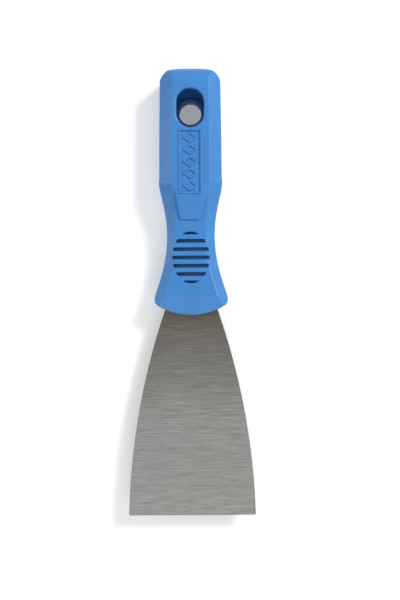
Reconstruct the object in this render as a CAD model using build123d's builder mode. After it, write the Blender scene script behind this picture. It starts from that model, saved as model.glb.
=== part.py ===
"""Drywall taping knife: a spring-steel blade clamped between two moulded handle shells.

The knife lies on the flat back of its handle. X runs across the blade, +Y runs from the
scraping edge to the butt, +Z is up, and the origin is under the middle of the whole tool.
The blade's middle plane is also the parting plane of the two shells, and heights in the
handle are counted from there. An inset is a distance behind the tip of the mouth.
"""

from build123d import *
from math import sqrt
import os

# ------------------------------------------------------------------ overall sizes
overall_length = 210.0        # scraping edge to butt
handle_length = 115.5         # mouth to butt
handle_thickness = 20.0       # over the two flat grip faces

# ------------------------------------------------------------------ blade
blade_width = 60.0            # at the scraping edge
blade_side_radius = 323.0     # long curve from the edge corners to the shoulders
blade_root_thickness = 1.0    # at the mouth and in the handle
blade_edge_thickness = 0.5    # at the scraping edge
blade_corner_radius = 0.8
shoulder_width = 21.6         # over the blade's shoulders, inside the handle
shoulder_inset = 7.2
taper_start = 4.0             # ground thinner from this far in front of the mouth to the edge
tang_width = 15.0
tang_inset = 70.0             # end of the tang
tang_end_radius = 3.0
blade_clearance = 0.05        # between the blade and its seat in the shells

# ------------------------------------------------------------------ handle: outline and heights
mouth_radius = 29.0           # curved front edge of the handle
mouth_corner_radius = 3.2
lip_edge_round = 0.9
butt_radius = 34.0
butt_corner_radius = 7.0
butt_edge_round = 6.0
wall = 2.4
side_round = 1.6              # between the upright sides and the flanks
top_round = 1.2               # between the flanks and the flat top
seam_groove = 0.25            # bevel of the outer rim along the parting plane

lip_width = 33.4              # just in front of the mouth
lip_height = 4.4              # at the tip of the mouth
lip_side_height = 2.2
crest_inset = 9.0             # crease of the lip
crest_width = 34.2
crest_height = 6.4
crest_flat_width = 24.8
crest_side_height = 2.4
shank_width = 28.4            # half way from the crease to the middle of the dish
shank_height = 6.0
shank_flat_width = 19.4
shank_side_height = 2.2
dish_inset = 27.1             # middle of the thumb dish
dish_width = 24.2
dish_height = 5.7
dish_flat_width = 15.6
dish_side_height = 2.0
waist_inset = 37.0            # narrowest place
waist_width = 22.5
waist_height = 5.9
waist_flat_width = 14.4
waist_side_height = 2.0
neck_inset = 46.0
neck_width = 23.7
neck_height = 6.8
neck_flat_width = 14.5
neck_side_height = 2.6
rise_inset = 53.5             # half way up onto the grip
rise_width = 26.5
rise_height = 8.0
rise_flat_width = 16.0
rise_side_height = 3.4
ramp_inset = 58.5
ramp_width = 28.8
ramp_drop = 0.6               # below the grip's flat face
ramp_flat_width = 17.0
ramp_side_height = 4.7
grip_inset = 64.0             # full width and height from here on
grip_width = 29.3
grip_flat_width = 17.4        # flat faces of the grip
grip_side_height = 5.4
grip_stock = 0.12             # cut off the grip to leave its faces truly flat
hang_width = 28.8             # at the hang hole
hang_side_height = 5.2
butt_width = 28.2
butt_flat_width = 16.8
butt_side_height = 5.0
side_margin = 0.1             # the cutting outline stands this far outside the sides
end_margin = 1.0              # shapes that are cut to length are drawn this much too long

# ------------------------------------------------------------------ raised tongue
tongue_inset = 44.6           # narrow end
tongue_level_inset = 56.0     # level with the grip from here on
tongue_end_inset = 65.5       # runs out in the grip's flat face
tongue_start_width = 10.0
tongue_start_height = 7.5
tongue_corner_radius = 2.0
tongue_edge_round = 0.5

# ------------------------------------------------------------------ thumb slots
slot_count = 7
slot_height = 1.7
slot_pitch = 3.88
slot_field_width = 17.4
slot_field_length = 24.2
slot_floor_wall = 1.0         # left between the slots and the tang
solid_behind_slots = 2.5      # the shells are solid from the mouth to this far behind the slots

# ------------------------------------------------------------------ hang hole
hang_distance = 19.15         # from the butt
hang_hole_diameter = 10.5     # round hole in the back shell
hang_hole_round = 0.4
hang_collar_wall = 1.8
hang_collar_height = 2.0      # stands inside, on the back wall
hang_opening_width = 12.7     # obround opening in the front shell
hang_opening_length = 18.1
hang_opening_round = 0.8

# ------------------------------------------------------------------ raised label frame
frame_inset = 56.5            # end towards the blade
frame_gap = 0.85              # between the frame and the hang opening
frame_width = 10.9
frame_line = 0.8
frame_relief = 0.45
panel_depth = 0.4
lozenge_count = 5
lozenge_width = 7.0
lozenge_gap = 0.5
lozenge_line = 0.9
lozenge_relief = 0.25

# ------------------------------------------------------------------ pins, pegs and ribs
pin_diameter = 4.0
pin_length = 8.0
pin_chamfer = 0.4
pin_fit = 0.05                # all round, in the tang and in the shells
pin_boss_wall = 2.0
pin_insets = (51.0, 64.0)
peg_diameter = 3.0
peg_length = 2.0
peg_fit = 0.05
peg_boss_wall = 1.5
front_peg_inset = 12.6
front_peg_spacing = 26.0
rear_peg_distance = 7.0       # from the butt
rear_peg_spacing = 15.0
socket_end_clearance = 0.2
rib_thickness = 1.6
tang_end_gap = 0.3            # to the rib behind it

# ------------------------------------------------------------------ places worked out from them
mid_z = handle_thickness / 2
butt_y = overall_length / 2
edge_y = -overall_length / 2
mouth_y = butt_y - handle_length
crest_y = mouth_y + crest_inset
dish_y = mouth_y + dish_inset
grip_y = mouth_y + grip_inset
shoulder_y = mouth_y + shoulder_inset
tang_end_y = mouth_y + tang_inset
hang_y = butt_y - hang_distance
opening_start_y = hang_y - hang_opening_length / 2
frame_start_y = mouth_y + frame_inset
frame_end_y = opening_start_y - frame_gap
frame_length = frame_end_y - frame_start_y
frame_y = (frame_start_y + frame_end_y) / 2
slot_floor = blade_root_thickness / 2 + blade_clearance + slot_floor_wall
cavity_start_y = dish_y + slot_field_length / 2 + solid_behind_slots
tang_rib_y = tang_end_y + tang_end_gap + rib_thickness / 2
hang_rib_y = opening_start_y - 2 * frame_gap - rib_thickness / 2
pin_places = [(0, mouth_y + inset) for inset in pin_insets]
front_peg_places = [(side * front_peg_spacing / 2, mouth_y + front_peg_inset) for side in (-1, 1)]
rear_peg_places = [(side * rear_peg_spacing / 2, butt_y - rear_peg_distance) for side in (-1, 1)]

parting = Plane.XY.offset(mid_z)
front_face = Plane.XY.offset(handle_thickness)
lengthwise = Plane(origin=(0, 0, mid_z), x_dir=(0, 1, 0), z_dir=(1, 0, 0))


def across(y):
    """The plane square to the handle at y, drawn from the parting plane up."""
    return Plane(origin=(0, y, mid_z), x_dir=(1, 0, 0), z_dir=(0, -1, 0))


# ------------------------------------------------------------------ half of the handle's body
# Each section is: place, width, height, width of its flat top, height of its upright side.
grip_height = mid_z + grip_stock
neck_sections = [
    (mouth_y - end_margin, lip_width, crest_height, crest_flat_width, lip_side_height),
    (crest_y, crest_width, crest_height, crest_flat_width, crest_side_height),
    ((crest_y + dish_y) / 2, shank_width, shank_height, shank_flat_width, shank_side_height),
    (dish_y, dish_width, dish_height, dish_flat_width, dish_side_height),
    (mouth_y + waist_inset, waist_width, waist_height, waist_flat_width, waist_side_height),
    (mouth_y + neck_inset, neck_width, neck_height, neck_flat_width, neck_side_height),
    (mouth_y + rise_inset, rise_width, rise_height, rise_flat_width, rise_side_height),
    (mouth_y + ramp_inset, ramp_width, mid_z - ramp_drop, ramp_flat_width, ramp_side_height),
    (grip_y, grip_width, grip_height, grip_flat_width, grip_side_height),
]
grip_sections = [
    neck_sections[-1],
    (hang_y, hang_width, grip_height, grip_flat_width, hang_side_height),
    (butt_y + end_margin, butt_width, grip_height, butt_flat_width, butt_side_height),
]


def lofted_half(inset):
    """The smooth upper half of the handle, drawn inward by inset, before its ends are cut."""
    skirt = 2.0               # the sections reach below the parting plane, then are cut there
    flat_share = 0.33         # the flat top and the upright sides shrink less than the walls
    side_share = 0.5          # move in, so that the flanks keep the full wall as well
    with BuildPart() as half:
        for sections in (neck_sections, grip_sections):
            for y, width, height, flat_width, side_height in sections:
                w = width / 2 - inset
                h = height - inset
                p = flat_width / 2 - inset * flat_share
                s = side_height - inset * side_share
                with BuildSketch(across(y)):
                    with BuildLine():
                        FilletPolyline(
                            (-w, -skirt), (-w, s), (-p, h), (p, h), (w, s), (w, -skirt),
                            radius=(0, side_round, top_round, top_round, side_round, 0),
                            close=True,
                        )
                    make_face()
            loft()
        split(bisect_by=parting, keep=Keep.TOP)
    return half.part


def outline_prism(inset, start_y):
    """The handle's outline seen from above, drawn inward by inset, from start_y to the butt."""
    front_half = crest_width / 2 + side_margin
    butt_half = butt_width / 2 + 2 * side_margin
    mouth_side_y = mouth_y + mouth_radius - sqrt(mouth_radius**2 - front_half**2)
    butt_side_y = butt_y - butt_radius + sqrt(butt_radius**2 - butt_half**2)
    with BuildPart() as prism:
        with BuildSketch(parting):
            with BuildLine():
                ThreePointArc((-front_half, mouth_side_y), (0, mouth_y), (front_half, mouth_side_y))
                Polyline((front_half, mouth_side_y), (front_half, grip_y), (butt_half, butt_side_y))
                ThreePointArc((butt_half, butt_side_y), (0, butt_y), (-butt_half, butt_side_y))
                Polyline(
                    (-butt_half, butt_side_y), (-front_half, grip_y), (-front_half, mouth_side_y),
                )
            make_face()
            fillet(vertices().sort_by(Axis.Y)[:2], mouth_corner_radius)
            fillet(vertices().sort_by(Axis.Y)[-2:], butt_corner_radius)
            if inset:
                offset(amount=-inset, mode=Mode.REPLACE)
            with Locations((0, start_y - overall_length)):
                Rectangle(overall_length, 2 * overall_length, mode=Mode.SUBTRACT)
        extrude(amount=mid_z - inset)
    return prism.part


def lip_wedge():
    """The space over the flat sloping lip between the crease and the mouth."""
    slope = (crest_height - lip_height) / crest_inset
    reach = 5.0               # in front of the mouth
    with BuildPart() as wedge:
        with BuildSketch(lengthwise):
            Polygon(
                (mouth_y - reach, lip_height - slope * reach),
                (crest_y, crest_height),
                (crest_y, handle_thickness),
                (mouth_y - reach, handle_thickness),
                align=None,
            )
        extrude(amount=overall_length, both=True)
    return wedge.part


def butt_wedge():
    """The space over the rounded top edge of the butt."""
    start = (butt_y - butt_edge_round, mid_z)
    end = (butt_y, mid_z - butt_edge_round)
    outer_y = butt_y + end_margin
    outer_z = mid_z + end_margin
    with BuildPart() as wedge:
        with BuildSketch(lengthwise):
            with BuildLine():
                RadiusArc(start, end, butt_edge_round)
                Polyline(end, (outer_y, end[1]), (outer_y, outer_z), (start[0], outer_z), start)
            make_face()
        extrude(amount=overall_length, both=True)
    return wedge.part


def tongue():
    """The raised tongue that runs from the grip's flat face down onto the neck."""
    start_y = mouth_y + tongue_inset
    level_y = mouth_y + tongue_level_inset
    end_y = mouth_y + tongue_end_inset
    half_start = tongue_start_width / 2
    half_end = grip_flat_width / 2
    with BuildPart() as pad:
        with BuildSketch(parting):
            Polygon(
                (-half_start, start_y), (half_start, start_y), (half_end, end_y), (-half_end, end_y),
                align=None,
            )
            fillet(vertices().sort_by(Axis.Y)[:2], tongue_corner_radius)
        extrude(amount=mid_z)
        with BuildSketch(lengthwise):
            Polygon(
                (start_y, 0), (start_y, tongue_start_height), (level_y, mid_z), (end_y, mid_z),
                (end_y, 0),
                align=None,
            )
        extrude(amount=grip_width, both=True, mode=Mode.INTERSECT)
        top = pad.faces().filter_by(lambda f: f.normal_at().Z > 0.5)
        rim = top.edges().filter_by(
            lambda e: abs(e.center().X) > end_margin or e.center().Y < start_y + end_margin
        )
        fillet(rim, tongue_edge_round)
    return pad.part


def slot_field():
    """The thumb slots: level bars cut off by an ellipse."""
    with BuildPart() as slots:
        with BuildSketch(parting.offset(slot_floor)):
            with Locations((0, dish_y)):
                with GridLocations(0, slot_pitch, 1, slot_count):
                    Rectangle(slot_field_width, slot_height)
                Ellipse(slot_field_width / 2, slot_field_length / 2, mode=Mode.INTERSECT)
        extrude(amount=handle_thickness)
    return slots.part


def blade_outline():
    """The flat blank of the blade with its shoulders and tang."""
    half_edge = blade_width / 2
    half_shoulder = shoulder_width / 2
    half_tang = tang_width / 2
    with BuildSketch(parting) as outline:
        with BuildLine():
            Line((-half_edge, edge_y), (half_edge, edge_y))
            RadiusArc((half_edge, edge_y), (half_shoulder, shoulder_y), -blade_side_radius)
            Polyline(
                (half_shoulder, shoulder_y), (half_tang, shoulder_y), (half_tang, tang_end_y),
                (-half_tang, tang_end_y), (-half_tang, shoulder_y), (-half_shoulder, shoulder_y),
            )
            RadiusArc((-half_shoulder, shoulder_y), (-half_edge, edge_y), -blade_side_radius)
        make_face()
        fillet(vertices().group_by(Axis.Y)[0], blade_corner_radius)
        fillet(vertices().group_by(Axis.Y)[-1], tang_end_radius)
    return outline.sketch


def cavity():
    """The hollow of one shell, less the ribs and bosses that stand in it."""
    with BuildPart() as hollow:
        add(lofted_half(wall))
        add(outline_prism(wall, cavity_start_y), mode=Mode.INTERSECT)
        with BuildSketch(parting):
            with Locations((0, tang_rib_y), (0, hang_rib_y)):
                Rectangle(2 * grip_width, rib_thickness)
            with Locations(*pin_places):
                Circle(pin_diameter / 2 + pin_fit + pin_boss_wall)
            with Locations(*rear_peg_places):
                Circle(peg_diameter / 2 + peg_fit + peg_boss_wall)
        extrude(amount=handle_thickness, mode=Mode.SUBTRACT)
    return hollow.part


def shell_half():
    """What the two shells share, drawn above the parting plane."""
    with BuildPart() as half:
        add(lofted_half(0))
        add(tongue())
        add(outline_prism(0, mouth_y - end_margin), mode=Mode.INTERSECT)
        add(lip_wedge(), mode=Mode.SUBTRACT)
        add(butt_wedge(), mode=Mode.SUBTRACT)
        lip_edge = half.edges().filter_by(GeomType.ELLIPSE).sort_by(Axis.Y)[0]
        fillet(lip_edge, lip_edge_round)
        outer_rim = half.faces().sort_by(Axis.Z)[0].outer_wire().edges()
        chamfer(outer_rim, seam_groove)
        add(cavity(), mode=Mode.SUBTRACT)
        add(slot_field(), mode=Mode.SUBTRACT)
        with BuildSketch(parting):
            add(blade_outline())
            offset(amount=blade_clearance)
        extrude(amount=blade_root_thickness / 2 + blade_clearance, mode=Mode.SUBTRACT)
        with BuildSketch(parting):
            with Locations(*pin_places):
                Circle(pin_diameter / 2 + pin_fit)
        extrude(amount=pin_length / 2 + socket_end_clearance, mode=Mode.SUBTRACT)
    return half.part


def hang_rim(shell, z, length):
    """The edges round a hang opening of this length, where it meets the flat face at z."""
    half_width = hang_opening_width / 2 + end_margin
    level = shell.edges().filter_by_position(Axis.Z, z, z)
    return level.filter_by(
        lambda e: abs(e.center().Y - hang_y) <= length / 2 and abs(e.center().X) < half_width
    )


upper_shell = shell_half()

# ------------------------------------------------------------------ the blade
with BuildPart() as blade:
    add(blade_outline())
    extrude(amount=blade_root_thickness, both=True)
    taper_y = mouth_y - taper_start
    half_root = blade_root_thickness / 2
    half_tip = blade_edge_thickness / 2
    with BuildSketch(lengthwise):
        Polygon(
            (edge_y, -half_tip), (taper_y, -half_root), (tang_end_y, -half_root),
            (tang_end_y, half_root), (taper_y, half_root), (edge_y, half_tip),
            align=None,
        )
    extrude(amount=blade_width, both=True, mode=Mode.INTERSECT)
    with Locations(*[(x, y, mid_z) for x, y in pin_places]):
        Hole(pin_diameter / 2 + pin_fit)

# ------------------------------------------------------------------ the front shell
with BuildPart() as handle_front:
    add(upper_shell)

    # the large opening over the hang hole
    with BuildSketch(front_face):
        with Locations((0, hang_y)):
            SlotOverall(hang_opening_length, hang_opening_width, rotation=90)
    extrude(amount=-mid_z, mode=Mode.SUBTRACT)
    fillet(hang_rim(handle_front, handle_thickness, hang_opening_length), hang_opening_round)

    # sockets for the back shell's pegs
    with BuildSketch(parting):
        with Locations(*front_peg_places, *rear_peg_places):
            Circle(peg_diameter / 2 + peg_fit)
    extrude(amount=peg_length + socket_end_clearance, mode=Mode.SUBTRACT)

    # the label's sunk panel, its raised frame and a row of plain lozenges
    with BuildSketch(front_face):
        with Locations((0, frame_y)):
            Rectangle(frame_width - frame_line, frame_length - frame_line)
    extrude(amount=-panel_depth, mode=Mode.SUBTRACT)
    with BuildSketch(front_face.offset(-panel_depth)):
        with Locations((0, frame_y)):
            RectangleRounded(frame_width, frame_length, frame_line)
            Rectangle(
                frame_width - 2 * frame_line, frame_length - 2 * frame_line, mode=Mode.SUBTRACT
            )
    extrude(amount=panel_depth + frame_relief)
    lozenge_pitch = (frame_length - 2 * frame_line - lozenge_gap) / lozenge_count
    half_wide = lozenge_width / 2
    half_long = (lozenge_pitch - lozenge_gap) / 2
    line_share = 1 - lozenge_line / half_long
    with BuildSketch(front_face.offset(-panel_depth)):
        with Locations((0, frame_y)):
            with GridLocations(0, lozenge_pitch, 1, lozenge_count):
                Polygon((-half_wide, 0), (0, -half_long), (half_wide, 0), (0, half_long))
            with GridLocations(0, lozenge_pitch, 1, lozenge_count):
                Polygon(
                    (-half_wide * line_share, 0), (0, -half_long * line_share),
                    (half_wide * line_share, 0), (0, half_long * line_share),
                    mode=Mode.SUBTRACT,
                )
    extrude(amount=panel_depth + lozenge_relief)

# ------------------------------------------------------------------ the back shell
with BuildPart() as handle_rear:
    mirror(upper_shell, about=parting)

    # the round hang hole and its collar
    with BuildSketch(Plane.XY):
        with Locations((0, hang_y)):
            Circle(hang_hole_diameter / 2 + hang_collar_wall)
    extrude(amount=wall + hang_collar_height)
    with Locations((0, hang_y, wall)):
        Hole(hang_hole_diameter / 2)
    fillet(hang_rim(handle_rear, 0, hang_hole_diameter), hang_hole_round)

    # locating pegs
    with BuildSketch(parting.offset(-wall)):
        with Locations(*front_peg_places, *rear_peg_places):
            Circle(peg_diameter / 2)
    extrude(amount=wall + peg_length)

# ------------------------------------------------------------------ the pins through the tang
with BuildPart() as tang_pins:
    with BuildSketch(parting):
        with Locations(*pin_places):
            Circle(pin_diameter / 2)
    extrude(amount=pin_length / 2, both=True)
    chamfer(tang_pins.edges().filter_by(GeomType.CIRCLE), pin_chamfer)

# ------------------------------------------------------------------ files
blade.part.label = "blade"
handle_front.part.label = "handle_front"
handle_rear.part.label = "handle_rear"
tang_pins.part.label = "tang_pins"

os.makedirs("parts", exist_ok=True)
export_step(blade.part, "parts/blade.step")
export_step(handle_front.part, "parts/handle_front.step")
export_step(handle_rear.part, "parts/handle_rear.step")
export_step(tang_pins.part, "parts/tang_pins.step")
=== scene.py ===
"""Looks, floor, light and camera for the drywall taping knife.

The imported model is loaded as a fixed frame: +Y runs from the scraping edge to the butt, +Z is
up, X runs across the blade. Its four pieces keep their shapes and get procedural materials.
"""

import bpy
from math import radians
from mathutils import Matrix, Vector


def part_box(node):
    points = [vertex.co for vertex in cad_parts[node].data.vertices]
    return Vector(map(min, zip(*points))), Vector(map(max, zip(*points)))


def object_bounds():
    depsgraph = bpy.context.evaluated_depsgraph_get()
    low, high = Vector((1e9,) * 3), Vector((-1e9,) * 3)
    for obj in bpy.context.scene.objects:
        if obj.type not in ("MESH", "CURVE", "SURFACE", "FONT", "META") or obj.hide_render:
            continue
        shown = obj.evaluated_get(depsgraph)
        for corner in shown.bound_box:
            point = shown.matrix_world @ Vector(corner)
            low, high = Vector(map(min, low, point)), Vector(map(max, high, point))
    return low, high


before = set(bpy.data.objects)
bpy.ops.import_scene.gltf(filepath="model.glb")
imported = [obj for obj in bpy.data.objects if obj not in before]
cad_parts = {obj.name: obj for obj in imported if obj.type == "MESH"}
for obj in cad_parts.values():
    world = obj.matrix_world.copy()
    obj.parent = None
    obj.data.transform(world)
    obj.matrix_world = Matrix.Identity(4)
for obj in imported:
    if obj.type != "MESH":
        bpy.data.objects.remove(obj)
cad_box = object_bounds()

MM = 0.001
low = cad_box[0]
blade_low, blade_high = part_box("blade")
blade_plane = (blade_low.z + blade_high.z) / 2

# ---------------------------------------------------------------- the look, in named values
CAMERA_HEIGHT = 440 * MM         # over the blade
VIEW_LENGTH = 283.8 * MM         # what the long side of the picture covers in the blade's plane
VIEW_CENTRE = Vector((4.1 * MM, -3.3 * MM))
CAMERA_ROLL = radians(-0.33)
SENSOR = 36.0
WORLD_LIGHT = 0.35               # plain white light from all round

PLASTIC_BLUE = (0.032, 0.192, 0.50, 1)
PLASTIC_MOTTLE = 0.07            # how much the blue varies, as a share
PLASTIC_ROUGHNESS = (0.36, 0.46)
STEEL_GREY = (0.24, 0.237, 0.23, 1)
STREAK_CONTRAST = 0.26           # how much the grinding streaks vary, as a share
CLOUD_TINT = (0.93, 0.91, 0.86, 1)
CLOUD_SHARE = 0.35               # how strong the warm clouds on the steel are
# tint for the blade near the handle: partly a browner finish, partly a painted dark reflection
FINISH_AND_PAINTED_REFLECTION_TINT = (0.38, 0.35, 0.28, 1)
PIN_GREY = (0.45, 0.45, 0.44, 1)
FLOOR_WHITE = (0.86, 0.86, 0.86, 1)
FLOOR_LIFT = 0.27                # plain white added where the floor is seen, as a background
FLOOR_SIZE = 40.0
LIFT_REACH = (0.3, 1.2)          # distances where that lift starts to grow and is full
FINISH_AND_PAINTED_REFLECTION_FROM = blade_low.y + 45 * MM   # where the blade's browner finish and painted dark reflection start
FINISH_AND_PAINTED_REFLECTION_TO = blade_low.y + 95 * MM     # and where it is full, at the handle's mouth
EDGE_SOFTNESS = 0.3 * MM         # how round the moulded edges look


# ---------------------------------------------------------------- helpers for node materials
class Nodes:
    """A new node material, or the world's nodes, with short calls for nodes and links."""

    def __init__(self, name=None, world=None):
        self.material = world or bpy.data.materials.new(name)
        self.material.use_nodes = True
        self.tree = self.material.node_tree
        self.tree.nodes.clear()
        self.output = self.add("ShaderNodeOutputWorld" if world else "ShaderNodeOutputMaterial")

    def add(self, kind, inputs=None, **settings):
        """A node of this kind, with settings, and inputs given as values or as sockets."""
        node = self.tree.nodes.new(kind)
        for key, value in settings.items():
            setattr(node, key, value)
        for key, value in (inputs or {}).items():
            socket = node.inputs[key]
            if isinstance(value, bpy.types.NodeSocket):
                self.tree.links.new(value, socket)
            else:
                socket.default_value = value
        return node

    def math(self, operation, a, b=0.0, clamp=False):
        return self.add("ShaderNodeMath", {0: a, 1: b}, operation=operation, use_clamp=clamp).outputs[0]

    def spread(self, value, low_in, high_in, low_out, high_out):
        """value mapped from one range to another."""
        inputs = {0: value, 1: low_in, 2: high_in, 3: low_out, 4: high_out}
        return self.add("ShaderNodeMapRange", inputs).outputs[0]

    def blend(self, amount, colour_a, colour_b, kind="MIX"):
        node = self.add("ShaderNodeMix", data_type="RGBA", blend_type=kind)
        for index, value in ((0, amount), (6, colour_a), (7, colour_b)):
            socket = node.inputs[index]
            if isinstance(value, bpy.types.NodeSocket):
                self.tree.links.new(value, socket)
            else:
                socket.default_value = value
        return node.outputs[2]

    def place(self, scale):
        """Object coordinates in metres, multiplied by a scale for each axis."""
        coordinates = self.add("ShaderNodeTexCoord").outputs["Object"]
        return self.add("ShaderNodeMapping", {"Vector": coordinates, "Scale": scale}).outputs[0]

    def noise(self, scale, detail=3.0, roughness=0.55):
        """Noise whose cells are about 1 / scale metres along each axis."""
        inputs = {"Vector": self.place(scale), "Scale": 1.0, "Detail": detail, "Roughness": roughness}
        return self.add("ShaderNodeTexNoise", inputs).outputs["Fac"]

    def finish(self, shader):
        self.tree.links.new(shader.outputs[0], self.output.inputs["Surface"])
        return self.material


def shade(colour, factor):
    """The colour made lighter or darker by the factor."""
    return tuple(min(1.0, channel * factor) for channel in colour[:3]) + (1,)


def blue_plastic():
    """Moulded polypropylene: satin, finely grained and slightly mottled."""
    n = Nodes("blue_plastic")
    mottle = n.noise((90, 45, 90), detail=4)
    flow = n.noise((260, 30, 260), detail=3)
    grain = n.noise((2600, 2600, 2600), detail=2)
    ripple = n.noise((140, 140, 140), detail=2)
    tint = n.spread(mottle, 0.3, 0.7, 0.0, 1.0)
    deep = shade(PLASTIC_BLUE, 1 - PLASTIC_MOTTLE)
    pale = shade(PLASTIC_BLUE, 1 + PLASTIC_MOTTLE)
    colour = n.blend(tint, deep, pale)
    roughness = n.spread(flow, 0.3, 0.7, *PLASTIC_ROUGHNESS)
    soft_edges = n.add("ShaderNodeBevel", {"Radius": EDGE_SOFTNESS}, samples=6)
    fine = n.add("ShaderNodeBump", {
        "Height": grain, "Strength": 0.25, "Distance": 0.03 * MM, "Normal": soft_edges.outputs[0],
    })
    broad = n.add(
        "ShaderNodeBump",
        {"Height": ripple, "Strength": 0.25, "Distance": 0.06 * MM, "Normal": fine.outputs[0]},
    )
    shader = n.add("ShaderNodeBsdfPrincipled", {
        "Base Color": colour, "Roughness": roughness, "Normal": broad.outputs[0],
        "IOR": 1.49, "Subsurface Weight": 0.0,
    })
    return n.finish(shader)


def brushed_steel(name, colour, streak_scale, fine_scale, low_rough, high_rough, finish_and_painted_reflection=0.0):
    """Steel with grinding streaks along the axis whose scale is small.

    Its colour grows darker and browner towards the handle, partly a browner finish and partly a painted
    dark reflection, by the share in the last argument.
    """
    n = Nodes(name)
    streaks = n.noise(streak_scale, detail=5, roughness=0.65)
    fine = n.noise(fine_scale, detail=4, roughness=0.7)
    cloud = n.noise((30, 22, 30), detail=3)
    both = n.math("ADD", n.math("MULTIPLY", streaks, 0.6), n.math("MULTIPLY", fine, 0.4))
    dark = shade(colour, 1 - STREAK_CONTRAST)
    light = shade(colour, 1 + STREAK_CONTRAST)
    brushed = n.blend(n.spread(both, 0.38, 0.62, 0.0, 1.0), dark, light)
    warmth = n.spread(cloud, 0.35, 0.65, 0.0, CLOUD_SHARE)
    tinted = n.blend(warmth, brushed, CLOUD_TINT, kind="MULTIPLY")
    along = n.add("ShaderNodeSeparateXYZ", {0: n.place((1, 1, 1))}).outputs["Y"]
    # partly a browner finish and partly a painted dark reflection, growing towards the handle
    finish_and_painted_reflection_mask = n.spread(along, FINISH_AND_PAINTED_REFLECTION_FROM, FINISH_AND_PAINTED_REFLECTION_TO, 0.0, finish_and_painted_reflection)
    tinted = n.blend(finish_and_painted_reflection_mask, tinted, FINISH_AND_PAINTED_REFLECTION_TINT, kind="MULTIPLY")
    roughness = n.spread(both, 0.35, 0.65, low_rough, high_rough)
    bump = n.add("ShaderNodeBump", {"Height": both, "Strength": 0.3, "Distance": 0.02 * MM})
    shader = n.add("ShaderNodeBsdfPrincipled", {
        "Base Color": tinted, "Metallic": 1.0, "Roughness": roughness,
        "Normal": bump.outputs[0],
    })
    return n.finish(shader)


def camera_light(n):
    """1 for the rays that see the plain white background: camera, glossy and transmission."""
    path = n.add("ShaderNodeLightPath").outputs
    seen = n.math("ADD", path["Is Camera Ray"], path["Is Glossy Ray"], clamp=True)
    return n.math("ADD", seen, path["Is Transmission Ray"], clamp=True)


def white_floor():
    """A matt white floor that reads as pure white where no shadow falls on it."""
    n = Nodes("white_floor")
    matt = n.add("ShaderNodeBsdfDiffuse", {"Color": FLOOR_WHITE})
    distance = n.add("ShaderNodeVectorMath", {0: n.place((1, 1, 1))}, operation="LENGTH").outputs["Value"]
    lift = n.math("MULTIPLY", camera_light(n), n.spread(distance, *LIFT_REACH, FLOOR_LIFT, 1.0))
    glow = n.add("ShaderNodeEmission", {"Color": (1, 1, 1, 1), "Strength": lift})
    return n.finish(n.add("ShaderNodeAddShader", {0: matt.outputs[0], 1: glow.outputs[0]}))


def dress(node, material):
    """Gives every material slot of a CAD node the material."""
    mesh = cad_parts[node].data
    if not mesh.materials:
        mesh.materials.append(material)
    for i in range(len(mesh.materials)):
        mesh.materials[i] = material


# ---------------------------------------------------------------- the knife
plastic = blue_plastic()
dress("handle_front", plastic)
dress("handle_rear", plastic)
# the blade's colour carries a browner finish and a painted dark reflection near the handle
dress("blade", brushed_steel(
    "ground_blade_steel", STEEL_GREY, (75, 2800, 75), (240, 7500, 240), 0.30, 0.44, finish_and_painted_reflection=0.9))
dress("tang_pins", brushed_steel(
    "drawn_pin_steel", PIN_GREY, (900, 900, 60), (3000, 3000, 200), 0.25, 0.35))

# ---------------------------------------------------------------- floor
floor_mesh = bpy.data.meshes.new("floor")
half = FLOOR_SIZE / 2
floor_mesh.from_pydata(
    [(-half, -half, low.z), (half, -half, low.z), (half, half, low.z), (-half, half, low.z)],
    [], [(0, 1, 2, 3)],
)
floor = bpy.data.objects.new("floor", floor_mesh)
bpy.context.scene.collection.objects.link(floor)
floor_mesh.materials.append(white_floor())


# ---------------------------------------------------------------- light
def softbox(name, place, aim, width, height, power):
    """A rectangular area light at a place, turned to face aim."""
    data = bpy.data.lights.new(name, "AREA")
    data.shape = "RECTANGLE"
    data.size = width
    data.size_y = height
    data.energy = power
    lamp = bpy.data.objects.new(name, data)
    lamp.location = place
    lamp.rotation_euler = (Vector(aim) - Vector(place)).to_track_quat("-Z", "Y").to_euler()
    bpy.context.scene.collection.objects.link(lamp)


softbox("key", (0.70, 0.55, 0.75), (0, 0, 0), 0.35, 0.35, 11.0)
softbox("left_strip", (-1.0, 0.1, 0.55), (0, 0, 0), 0.3, 1.2, 3.2)
softbox("low_sky", (0.0, -0.85, 0.95), (0, -0.08, 0), 1.0, 0.5, 4.5)

scene = bpy.context.scene
world = bpy.data.worlds.new("studio")
scene.world = world
sky = Nodes(world=world)
strength = sky.spread(camera_light(sky), 0.0, 1.0, WORLD_LIGHT, 1.0)
sky.finish(sky.add("ShaderNodeBackground", {"Color": (1, 1, 1, 1), "Strength": strength}))

# ---------------------------------------------------------------- camera
camera_data = bpy.data.cameras.new("camera")
camera_data.sensor_width = SENSOR
camera_data.lens = SENSOR * CAMERA_HEIGHT / VIEW_LENGTH
camera = bpy.data.objects.new("camera", camera_data)
camera.location = (VIEW_CENTRE.x, VIEW_CENTRE.y, blade_plane + CAMERA_HEIGHT)
camera.rotation_euler = (0, 0, CAMERA_ROLL)
scene.collection.objects.link(camera)
scene.camera = camera
scene.view_settings.view_transform = "Standard"
